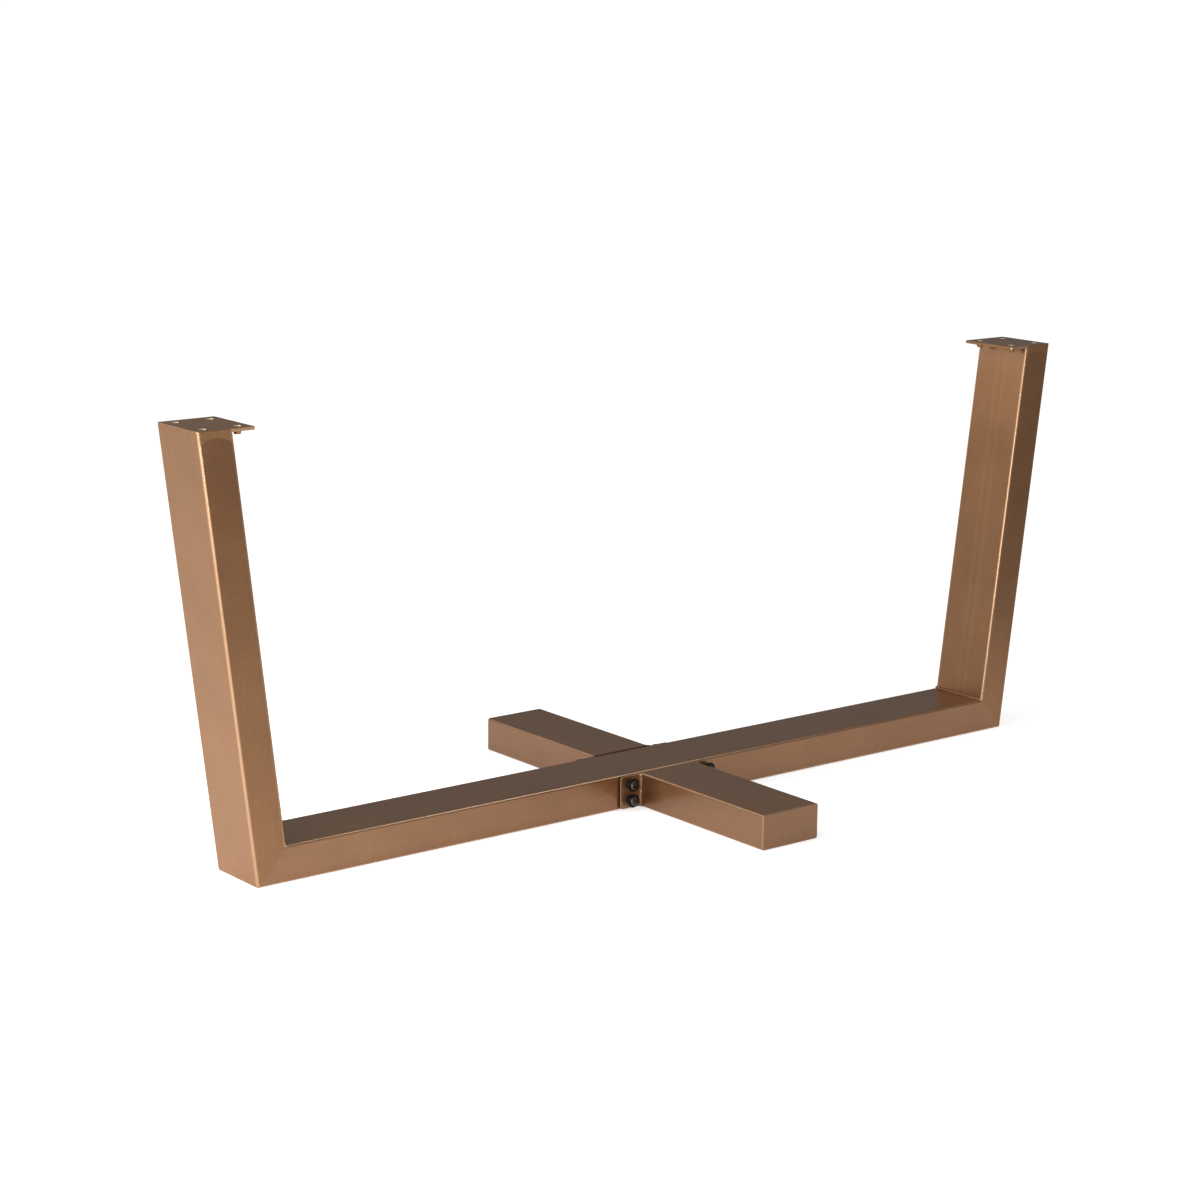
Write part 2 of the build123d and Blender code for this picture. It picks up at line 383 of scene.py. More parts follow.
def blackOxide(name, f):
    material, tree, place = newMaterial(name)
    cloud = addNode(tree, "ShaderNodeTexNoise", inputs={
        "Vector": place, "Scale": 1 / (f["cloudSize"] * mm), "Detail": 3.0}).outputs["Fac"]
    ramp = addNode(tree, "ShaderNodeValToRGB", inputs=[cloud])
    stops = ramp.color_ramp.elements
    stops[0].position, stops[0].color = 0.3, linearColour(f["dark"])
    stops[1].position, stops[1].color = 0.7, linearColour(f["light"])
    smooth, rough = f["roughness"]
    gloss = addNode(tree, "ShaderNodeMapRange", inputs={"Value": cloud, "To Min": smooth, "To Max": rough})
    shader = addNode(tree, "ShaderNodeBsdfPrincipled", inputs={
        "Base Color": ramp, "Metallic": f["metallic"], "Roughness": gloss, "Specular IOR Level": f["shine"]})
    addNode(tree, "ShaderNodeOutputMaterial", inputs={"Surface": shader})
    return material


bronzes = [bronzeCoat(along, bronzeFinish) for along in ("rail", "legs", "arms", "flanges")]
railBronze, legBronze, armBronze, flangeBronze = bronzes
oiledBlack = blackOxide("blackOxideOiled", oiledOxide)
dryBlack = blackOxide("blackOxideDry", dryOxide)
bareSteel = cutSteel(threadFinish)


def newPiece(name, mesh, finish, nodes):
    if finish.name not in [m.name for m in mesh.materials if m]:
        mesh.materials.append(finish)
    piece = addObject(name, mesh)
    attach(piece, "root")
    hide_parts(*nodes)
    return piece


def cornerKey(co):
    return tuple(round(c * 1e6) for c in co)


def facesByCorner(mesh):
    found = {}
    for face in mesh.polygons:
        for v in face.vertices:
            found.setdefault(cornerKey(mesh.vertices[v].co), []).append((face.normal.copy(), face.area))
    return found


def smoothCorners(mesh, around=None, limit=50.0):
    # Large faces lead, so flats stay flat and only the rounded edges shade softly
    around = around or facesByCorner(mesh)
    bound = cos(radians(limit))
    normals = []
    for face in mesh.polygons:
        face.use_smooth = True
        for v in face.vertices:
            near = around.get(cornerKey(mesh.vertices[v].co), [])
            total = sum((n * a for n, a in near if n.dot(face.normal) > bound), Vector())
            normals.append(total.normalized() if total.length > 1e-12 else face.normal.copy())
    mesh.normals_split_custom_set(normals)


def meshFromBmesh(name, bm):
    mesh = bpy.data.meshes.new(name)
    bm.to_mesh(mesh)
    bm.free()
    mesh.update()
    return mesh


def offsetLine(a, b, distance):  # moves the line a-b to its left by distance
    d = (b - a).normalized()
    n = Vector((-d.y, d.x))
    return a + n * distance, b + n * distance


def crossing(a, b, c, d):
    r, s = b - a, d - c
    t = ((c.x - a.x) * s.y - (c.y - a.y) * s.x) / (r.x * s.y - r.y * s.x)
    return a + r * t


def roundedRing(corners, radii, inset, steps):
    # Corners run anticlockwise; each is rounded with its own radius after the inset
    ring = []
    count = len(corners)
    for i, corner in enumerate(corners):
        before = offsetLine(corners[i - 1], corner, inset)
        after = offsetLine(corner, corners[(i + 1) % count], inset)
        tip = crossing(*before, *after)
        if radii[i] <= 0:
            ring.append(tip)
            continue
        into = (before[1] - before[0]).normalized()
        out = (after[1] - after[0]).normalized()
        turn = atan2(into.x * out.y - into.y * out.x, into.dot(out))
        radius = max(radii[i] - inset, 0.25) if turn > 0 else radii[i] + inset  # never quite sharp
        reach = radius * tan(abs(turn) / 2)
        start = tip - into * reach
        side = 1 if turn > 0 else -1
        centre = start + Vector((-into.y, into.x)) * radius * side
        for k in range(steps + 1):
            angle = turn * k / steps
            spoke = start - centre
            swung = (spoke.x * cos(angle) - spoke.y * sin(angle), spoke.x * sin(angle) + spoke.y * cos(angle))
            ring.append(centre + Vector(swung))
    return ring


def joinRings(bm, rings):
    made = []
    count = len(rings[0])
    for a, b in zip(rings, rings[1:]):
        for i in range(count):
            j = (i + 1) % count
            made.append(bm.faces.new((a[i], a[j], b[j], b[i])))
    return made


def tubeSection(width, radius, steps):
    # Across the tube's width: how far its rounded corners draw it in, and the place
    section = []
    for end in (-1, 1):
        for k in range(steps + 1):
            t = (k if end < 0 else steps - k) / steps * pi / 2
            section.append((radius * (1 - sin(t)), end * (width / 2 - radius * (1 - cos(t)))))
    return section


def uShell(bm, u, shrink):
    lean = leanOf(u)
    half = u["footLength"] / 2
    shift = tan(lean)
    wide = u["tubeHeight"] / cos(lean)
    legTop, tubeHeight = u["legTop"], u["tubeHeight"]
    leg = [(half + shift * legTop, legTop), (half + shift * legTop - wide, legTop),
           (half + shift * tubeHeight - wide, tubeHeight)]
    corners = [(-half, 0), (half, 0)] + leg + [(-x, z) for x, z in reversed(leg)]
    corners = [Vector(c) for c in corners]
    foot, crook = u["footRounding"], u["crookRounding"]
    radii = [foot, foot, 0, 0, crook, crook, 0, 0]
    # The cut tops stay level with the plate, and an inner shell runs past the cut
    cut = legTop + u["innerOverrun"] if shrink else legTop
    rings = []
    for inset, y in tubeSection(u["tubeWidth"] - 2 * shrink, u["cornerRadius"] - shrink, u["cornerSteps"]):
        points = []
        for x, z in roundedRing(corners, radii, shrink + inset, u["footSteps"]):
            if z > legTop / 2:
                hand = 1 if x > 0 else -1
                x, z = x + hand * shift * (cut - z), cut
            points.append(bm.verts.new((x * mm, y * mm, z * mm)))
        rings.append(points)
    made = joinRings(bm, rings) + [bm.faces.new(rings[0][::-1]), bm.faces.new(rings[-1])]
    bmesh.ops.recalc_face_normals(bm, faces=made)
    if shrink:  # the inner walls face the hollow
        bmesh.ops.reverse_faces(bm, faces=made)


def cutBy(bm, point, normal):
    # Keeps what lies behind the plane
    geometry = bm.verts[:] + bm.edges[:] + bm.faces[:]
    bmesh.ops.bisect_plane(bm, geom=geometry, dist=1e-7, plane_co=point, plane_no=normal, clear_outer=True)


def fillFlat(bm, edges):
    bmesh.ops.triangle_fill(bm, edges=edges, use_beauty=True, use_dissolve=False)


def makeUFrame(u):
    lean = leanOf(u)
    whole = bmesh.new()
    uShell(whole, u, 0.0)
    uShell(whole, u, u["wall"])
    wholeMesh = bpy.data.meshes.new("uFrameWhole")
    whole.to_mesh(wholeMesh)
    around = facesByCorner(wholeMesh)
    planes = {}
    for hand, side in (("left", -1), ("right", 1)):
        towards = Vector((side * (sin(lean) + 1), 0, cos(lean))).normalized()
        planes[hand] = (Vector((side * u["footLength"] / 2, 0, 0)) * mm, towards)
    level = (Vector((0, 0, u["legTop"])) * mm, Vector((0, 0, 1)))
    parts = {
        "longRail": ("long_rail", [planes["left"], planes["right"]]),
        "leftLeg": ("left_leg", [(planes["left"][0], -planes["left"][1]), level]),
        "rightLeg": ("right_leg", [(planes["right"][0], -planes["right"][1]), level]),
    }
    for name, (node, cuts) in parts.items():
        bm = bmesh.new()
        bm.from_mesh(wholeMesh)
        for point, normal in cuts:
            cutBy(bm, point, normal)
        openEdges = [e for e in bm.edges if len(e.link_faces) == 1]
        fillFlat(bm, openEdges)
        bmesh.ops.recalc_face_normals(bm, faces=bm.faces[:])
        mesh = meshFromBmesh(name, bm)
        own = facesByCorner(mesh)
        # A corner on the seam keeps the whole frame's faces, so no seam shows in the shading
        smoothCorners(mesh, {key: around.get(key, faces) for key, faces in own.items()})
        newPiece(name, mesh, railBronze if name == "longRail" else legBronze, [node])
    bpy.data.meshes.remove(wholeMesh)


makeUFrame(uFrame)
print("U frame made")


def ringPoints(width, height, radius, steps, grow=0.0):
    # Rounded rectangle about the origin, anticlockwise; grow moves it outward
    points = []
    rounded = max(radius + grow, 0.05)  # never quite sharp
    for sx, sy, first in ((1, 1, 0), (-1, 1, 1), (-1, -1, 2), (1, -1, 3)):
        cx, cy = sx * (width / 2 - radius), sy * (height / 2 - radius)
        for k in range(steps + 1):
            angle = (first + k / steps) * pi / 2
            points.append((cx + rounded * cos(angle), cy + rounded * sin(angle)))
    return points


def ringAt(bm, points, depth, middle=0.0):  # depth is measured forward, along -Y
    return [bm.verts.new((x * mm, -depth * mm, (z + middle) * mm)) for x, z in points]


def edgesOf(bm, ring):
    pairs = zip(ring, ring[1:] + ring[:1])
    return [bm.edges.get(pair) or bm.edges.new(pair) for pair in pairs]


def closeMesh(name, bm, turnRound=False):
    bmesh.ops.recalc_face_normals(bm, faces=bm.faces[:])
    if turnRound:
        bm.transform(Matrix.Rotation(pi, 4, "Z"))
    mesh = meshFromBmesh(name, bm)
    smoothCorners(mesh)
    return mesh


# Arms: the same tube laid flat, open at both ends under the flange and the cap
arm = {
    "width": 120.0,
    "height": 60.0,
    "wall": 2.0,
    "cornerRadius": 4.0,
    "start": 65.0,
    "end": 375.0,
    "steps": 6,
}


def makeArm(a, end):
    bm = bmesh.new()
    rings = []
    for depth, shrink in ((a["start"], 0), (a["end"], 0), (a["end"], a["wall"]), (a["start"], a["wall"])):
        width, height = a["width"] - 2 * shrink, a["height"] - 2 * shrink
        outline = ringPoints(width, height, a["cornerRadius"] - shrink, a["steps"])
        rings.append(ringAt(bm, outline, depth, a["height"] / 2))
    joinRings(bm, rings + rings[:1])
    mesh = closeMesh(end + "Arm", bm, end == "rear")
    newPiece(end + "Arm", mesh, armBronze, [end + "_arm"])


def quarterTurn(steps):  # the angles of a rounded rim
    return [k / steps * pi / 2 for k in range(steps + 1)]


def rimLevels(low, lowRim, high, highRim, steps):
    # Up the side of a plate: how far the outline grows, and the level, with both rims rounded
    angles = quarterTurn(steps)
    levels = [(-lowRim * (1 - sin(t)), low + lowRim * (1 - cos(t))) for t in angles]
    return levels + [(-highRim * (1 - cos(t)), high - highRim * (1 - sin(t))) for t in angles]


def circlePoints(sides):
    return [(cos(k * 2 * pi / sides), sin(k * 2 * pi / sides)) for k in range(sides)]


# Plate drilled with plain holes, its outer rim broken by hand; used for the flanges and the caps
def drilledPlate(name, end, p, holes, middle):
    bm = bmesh.new()
    rings = []
    near, far, radius = p["inner"], p["outer"], p["holeRadius"]
    for grow, depth in rimLevels(near, p["backRim"], far, p["rim"], p["rimSteps"]):
        outline = ringPoints(p["width"], p["height"], p["cornerRadius"], p["cornerSteps"], grow)
        rings.append(ringAt(bm, outline, depth, middle))
    joinRings(bm, rings)
    mouths = {}
    for depth, outer in ((near, rings[0]), (far, rings[-1])):
        edges = edgesOf(bm, outer)
        for cx, cz in holes:
            circle = [(cx + radius * c, cz + radius * s) for c, s in circlePoints(p["holeSides"])]
            ring = ringAt(bm, circle, depth, middle)
            mouths.setdefault((cx, cz), []).append(ring)
            edges += edgesOf(bm, ring)
        fillFlat(bm, edges)
    for walls in mouths.values():
        joinRings(bm, walls)
    return closeMesh(name, bm, end == "rear")


bolts = {
    "x": 84.0,
    "spacingZ": 27.0,
    "middleZ": 30.0,
    "seed": 7,
    "turn": 0.5,  # how far a head may be turned either way, radians
    "smoothing": 40.0,
}


def makeArmEnds(f, c, b):
    holes = [(sx * b["x"], sz * b["spacingZ"] / 2) for sx in (-1, 1) for sz in (-1, 1)]
    for end in ("front", "rear"):
        plate = drilledPlate(end + "Flange", end, f, holes, b["middleZ"])
        newPiece(end + "Flange", plate, flangeBronze, [end + "_flange"])
        lid = drilledPlate(end + "EndCap", end, c, [], b["middleZ"])
        newPiece(end + "EndCap", lid, armBronze, [end + "_end_cap"])
        makeArm(arm, end)


makeArmEnds(flange, cap, bolts)
print("arms, flanges and caps made")

# Top plate with four friction drilled holes: each leaves a tapered collar under the plate
topPlate = {
    "length": 100.0,
    "width": 120.0,
    "thickness": 5.0,
    "top": 720.0,
    "cornerRadius": 4.0,
    "rim": 0.6,
    "holeInset": 20.0,
    "boreRadius": 4.5,
    "collarRoot": 7.5,
    "collarTip": 5.25,
    "collarHeight": 7.0,
    "rootFlare": 0.9,
    "mouthChamfer": 1.4,
    "mouthRounding": 0.15,
    "underRim": 0.3,
    "tipRim": 0.3,
    "tipLand": 0.2,
    "cornerSteps": 6,
    "rimSteps": 4,
    "holeSides": 32,
}


def makeTopPlate(p, u, hand):
    lean = leanOf(u)
    middle = (u["topLength"] - p["length"]) / 2
    bm = bmesh.new()
    top, under = p["top"], p["top"] - p["thickness"]
    rim = []
    for grow, z in rimLevels(under, p["underRim"], top, p["rim"], p["rimSteps"]):
        slip = (top - z) * tan(lean)  # the outer edge leans with the leg
        points = []
        for x, y in ringPoints(p["length"], p["width"], p["cornerRadius"], p["cornerSteps"], grow):
            share = (x + p["length"] / 2) / p["length"]
            points.append(bm.verts.new(((middle + x - slip * share) * mm, y * mm, z * mm)))
        rim.append(points)
    joinRings(bm, rim)
    topEdges, underEdges = edgesOf(bm, rim[-1]), edgesOf(bm, rim[0])
    spread = (p["length"] / 2 - p["holeInset"], p["width"] / 2 - p["holeInset"])

    # Down the bore from its chamfered mouth, round the tip, and up the outside of the collar, whose root
    # flares out in two short steps
    bore, collar, tip, tipRim = p["boreRadius"], p["collarTip"], under - p["collarHeight"], p["tipRim"]
    mouth, soft = p["mouthChamfer"], p["mouthRounding"]
    slope = (p["collarRoot"] - collar) / p["collarHeight"]
    flare = p["rootFlare"]
    profile = [(top, bore + mouth), (top - soft, bore + mouth - 0.1), (top - mouth + 0.1, bore + soft),
               (top - mouth - soft, bore), (tip + tipRim, bore), (tip, bore + tipRim)]
    cutRings = len(profile) + 1
    profile += [(tip, collar - p["tipLand"]), (tip + tipRim, collar),
                (under - flare * 1.6, collar + slope * (p["collarHeight"] - flare * 1.6)),
                (under - flare * 0.5, p["collarRoot"] - flare * 0.1), (under, p["collarRoot"] + flare)]
    circle = circlePoints(p["holeSides"])
    for sx in (-1, 1):
        for sy in (-1, 1):
            cx, cy = middle + sx * spread[0], sy * spread[1]
            rings = [[bm.verts.new(((cx + r * c) * mm, (cy + r * s) * mm, z * mm)) for c, s in circle]
                     for z, r in profile]
            joinRings(bm, rings)
            cut = set(v for ring in rings[:cutRings] for v in ring)
            for v in cut:
                for face in v.link_faces:
                    if all(corner in cut for corner in face.verts):
                        face.material_index = 1
            topEdges += edgesOf(bm, rings[0])
            underEdges += edgesOf(bm, rings[-1])
    fillFlat(bm, topEdges)
    fillFlat(bm, underEdges)
    mesh = closeMesh(hand + "TopPlate", bm, hand == "left")
    mesh.materials.append(legBronze)
    mesh.materials.append(bareSteel)
    newPiece(hand + "TopPlate", mesh, legBronze, [hand + "_top_plate"])


makeTopPlate(topPlate, uFrame, "left")
makeTopPlate(topPlate, uFrame, "right")
print("top plates made")


def turned(name, profile, sides, helix=0.0):
    # Turns a profile of (distance along -Y, radius, kind) about the Y axis; "hex" gives a hexagon of that
    # half width, and "thread" lets the ring run along a helix of the given pitch
    bm = bmesh.new()
    rings = []
    for along, radius, kind in profile:
        ring = []
        for k in range(sides):
            angle = k * 2 * pi / sides
            r, y = radius, along
            if kind == "hex":
                r = radius / cos((angle + pi / 6) % (pi / 3) - pi / 6)
            if kind == "thread":
                y += helix * k / sides
            ring.append(bm.verts.new((r * cos(angle) * mm, -y * mm, r * sin(angle) * mm)))
        rings.append(ring)
    joinRings(bm, rings)
    for ring in (rings[0], rings[-1]):
        bm.faces.new(ring)
    return closeMesh(name, bm)


# M8 screw: low domed head with a hexagon socket, threaded to the head
screw = {
    "radius": 4.0,
    "length": 25.0,
    "threadPitch": 1.25,
    "threadDepth": 0.6,
    "headRadius": 8.25,
    "headHeight": 4.4,
    "headRim": 1.0,
    "edgeBreak": 0.3,
    "neckFlare": 0.4,
    "tip": 0.6,
    "threadEnds": (0.9, 2.1),  # left plain at the tip and under the head
    "fadeTurns": 1.5,  # the first turns grow out of the tip
    "socketHalf": 2.5,
    "socketDepth": 2.6,
    "socketRim": 0.75,
    "socketBreak": 0.15,
    "underHead": 75.7,  # from the middle of the base
    "threadSteps": 4,
    "domeSteps": 8,
    "sides": 48,
}
washer = {
    "radius": 12.0,
    "bore": 4.2,
    "thickness": 2.0,
    "rim": 0.5,
    "edgeBreak": 0.2,
    "rimSteps": 4,
    "sides": 48,
}
rivetNut = {
    "wallFace": 60.0,
    "wall": 2.0,
    "bore": 4.0,
    "headRadius": 6.5,
    "headThickness": 1.5,
    "bodyRadius": 5.5,
    "length": 16.0,
    "bulgeRadius": 7.0,
    "bulgeLength": 5.0,
    "bulgeRounding": (1.0, 0.3),
    "headBreak": 0.4,
    "edgeBreak": 0.3,
    "sides": 40,
}


def screwMesh(s):
    base = s["underHead"]
    core = s["radius"] - s["threadDepth"]
    end = base - s["length"]
    neck, small = s["neckFlare"], s["edgeBreak"]
    profile = [(end, core - neck, ""), (end + s["tip"], core, "")]
    first, last = s["threadEnds"]
    steps = s["threadSteps"]
    count = int((s["length"] - first - last) / s["threadPitch"] * steps)
    for k in range(count):
        wave = abs((k % steps) / steps * 2 - 1)
        fade = min(1.0, k / (s["fadeTurns"] * steps))
        crest = core + s["threadDepth"] * (1 - wave) * fade
        profile.append((end + first + k * s["threadPitch"] / steps, crest, "thread"))
    profile += [(base - neck, core, ""), (base, core + neck, "")]
    rim, radius, height = s["headRim"], s["headRadius"], s["headHeight"]
    profile += [(base, radius - small, ""), (base + small, radius, "")]
    dome = height - rim
    flat = radius - dome
    for angle in quarterTurn(s["domeSteps"]):
        profile.append((base + rim + dome * sin(angle), flat + dome * cos(angle), ""))
    half, top, small = s["socketHalf"], base + height, s["socketBreak"]
    profile += [(top, half + s["socketRim"], ""), (top, half + small, "hex"), (top - small, half, "hex"),
                (top - s["socketDepth"], half, "hex"), (top - s["socketDepth"] - 0.5, 0.4, "")]  # drill's point
    return turned("screwTemplate", profile, s["sides"], s["threadPitch"])


def washerMesh(w, s):
    low, high = s["underHead"] - w["thickness"], s["underHead"]
    rim, small, radius, bore = w["rim"], w["edgeBreak"], w["radius"], w["bore"]
    profile = [(low, bore + small), (low, radius - small), (low + small, radius)]
    profile += [(high - rim * (1 - sin(t)), radius - rim * (1 - cos(t))) for t in quarterTurn(w["rimSteps"])]
    profile += [(high, bore + small), (high - small, bore), (low + small, bore)]
    return ringMesh("washerTemplate", profile, w["sides"])


def rivetNutMesh(n):
    face, bore = n["wallFace"], n["bore"]
    head, body, bulge = n["headRadius"], n["bodyRadius"], n["bulgeRadius"]
    top, back, end = face + n["headThickness"], face - n["wall"], face - n["length"]
    crimp = back - n["bulgeLength"]  # where the crimped bulge ends inside the tube
    wide, narrow = n["bulgeRounding"]
    edge, small = n["headBreak"], n["edgeBreak"]
    profile = [(top, bore + edge), (top, head - edge), (top - edge, head), (face, head), (face, body),
               (back, body), (back, bulge), (crimp + wide, bulge), (crimp + narrow, bulge - narrow),
               (crimp, bulge - wide), (crimp, body), (end + small, body), (end, body - small),
               (end, bore + small), (end + small, bore), (top - edge, bore)]
    return ringMesh("rivetNutTemplate", profile, n["sides"])


def ringMesh(name, profile, sides):
    bm = bmesh.new()
    circle = circlePoints(sides)
    rings = [ringAt(bm, [(r * c, r * s) for c, s in circle], depth) for depth, r in profile]
    joinRings(bm, rings + rings[:1])
    return closeMesh(name, bm)


def newTree(name, sockets):
    # Each named input is a number with its default, or else a kind of socket
    tree = bpy.data.node_groups.new(name, "GeometryNodeTree")
    for label, value in sockets.items():
        named = isinstance(value, str)
        kind = value if named else "Int" if isinstance(value, int) else "Float"
        socket = tree.interface.new_socket(label, in_out="INPUT", socket_type="NodeSocket" + kind)
        if not named:
            socket.default_value = value
    tree.interface.new_socket("Geometry", in_out="OUTPUT", socket_type="NodeSocketGeometry")
    return tree, addNode(tree, "NodeGroupInput"), addNode(tree, "NodeGroupOutput")


# Puts one template at every bolt of both flanges, each turned about its own axis as it was tightened
def boltTree():
    tree, given, made = newTree("boltPattern", {
        "Template": "Object", "Spacing X": 0.168, "Spacing Z": 0.027, "Middle Z": 0.03,
        "Turn": 0.0, "Seed": 1, "Finish": "Material"})
    turn = given.outputs["Turn"]
    grid = addNode(tree, "GeometryNodeMeshGrid", inputs={
        "Size X": given.outputs["Spacing X"], "Size Y": given.outputs["Spacing Z"],
        "Vertices X": 2, "Vertices Y": 2})
    lift = addNode(tree, "ShaderNodeCombineXYZ", inputs={"Z": given.outputs["Middle Z"]})
    upright = addNode(tree, "GeometryNodeTransform", inputs={
        "Geometry": grid, "Translation": lift, "Rotation": (pi / 2, 0.0, 0.0)})
    shape = addNode(tree, "GeometryNodeObjectInfo", inputs={"Object": given.outputs["Template"]})
    back = addNode(tree, maths, "MULTIPLY", [turn, -1.0])
    both = addNode(tree, "GeometryNodeJoinGeometry")
    for shift, spin in ((0.0, 0.0), (100.0, pi)):  # the rear end has a seed of its own
        seed = addNode(tree, maths, "ADD", [given.outputs["Seed"], shift])
        angle = addNode(tree, "FunctionNodeRandomValue", {"data_type": "FLOAT"}, {
            2: back, 3: turn, "Seed": seed})
        own = addNode(tree, "ShaderNodeCombineXYZ", inputs={"Y": angle.outputs[1]})
        placed = addNode(tree, "GeometryNodeInstanceOnPoints", inputs={
            "Points": upright, "Instance": shape.outputs["Geometry"], "Rotation": own})
        end = addNode(tree, "GeometryNodeTransform", inputs={"Geometry": placed, "Rotation": (0.0, 0.0, spin)})
        tree.links.new(end.outputs[0], both.inputs[0])
    solid = addNode(tree, "GeometryNodeRealizeInstances", inputs={"Geometry": both})
    painted = addNode(tree, "GeometryNodeSetMaterial", inputs={
        "Geometry": solid, "Material": given.outputs["Finish"]})
    tree.links.new(painted.outputs[0], made.inputs[0])
    return tree


def runTree(name, tree, values, source=None):
    # Gives the tree its inputs, and turns what it makes into a plain mesh
    carrier = addObject(name + "Carrier", source or bpy.data.meshes.new(name + "Carrier"))
    modifier = carrier.modifiers.new(tree.name, "NODES")
    modifier.node_group = tree
    for item in tree.interface.items_tree:
        if item.in_out == "INPUT" and item.name in values:
            modifier[item.identifier] = values[item.name]
    bpy.context.view_layer.update()
    graph = bpy.context.evaluated_depsgraph_get()
    mesh = bpy.data.meshes.new_from_object(carrier.evaluated_get(graph))
    mesh.name = name
    bpy.data.objects.remove(carrier)
    return mesh


def makeFasteners(b):
    tree = boltTree()
    places = [f"{end}_{level}_{hand}" for end in ("front", "rear")
              for level in ("upper", "lower") for hand in ("left", "right")]
    kinds = {  # node's name, shape, turn, finish
        "screws": ("screw", screwMesh(screw), b["turn"], oiledBlack),
        "washers": ("washer", washerMesh(washer, screw), 0.0, dryBlack),
        "rivetNuts": ("rivet_nut", rivetNutMesh(rivetNut), 0.0, dryBlack),
    }
    for name, (node, template, turn, finish) in kinds.items():
        pattern = addObject(template.name, template)
        mesh = runTree(name, tree, {
            "Template": pattern, "Spacing X": 2 * b["x"] * mm, "Spacing Z": b["spacingZ"] * mm,
            "Middle Z": b["middleZ"] * mm, "Turn": turn, "Seed": b["seed"], "Finish": finish})
        bpy.data.objects.remove(pattern)
        smoothCorners(mesh, limit=b["smoothing"])
        if name == "screws":  # the oil is wiped off the threads
            mesh.materials.clear()
            mesh.materials.append(oiledBlack)
            mesh.materials.append(dryBlack)
            for face in mesh.polygons:
                face.material_index = 1 if abs(face.center.y) < screw["underHead"] * mm else 0
        newPiece(name, mesh, finish, [f"{node}_{place}" for place in places])


makeFasteners(bolts)
print("fasteners made")


# Welds left as they cooled: a convex fillet whose ripples follow the torch
weld = {
    "legSize": 4.2,
    "ripplePitch": 2.4,
    "rippleDepth": 0.07,
    "lumpSize": 5.0,
    "lumpHeight": 0.5,
    "armLength": 57.0,
    "cornerLength": 117.0,
    "endSwell": 0.3,
    "armSeed": 3.0,
    "cornerLegSize": 2.8,
    "cornerLumpHeight": 0.14,
    "cornerSeed": 11.0,
    "groundRadius": 6.5,
    "groundSteps": 8,
    "rootDepth": 0.3,  # the back of the ground weld lies just inside the tube's wall
    "smoothing": 60.0,
}


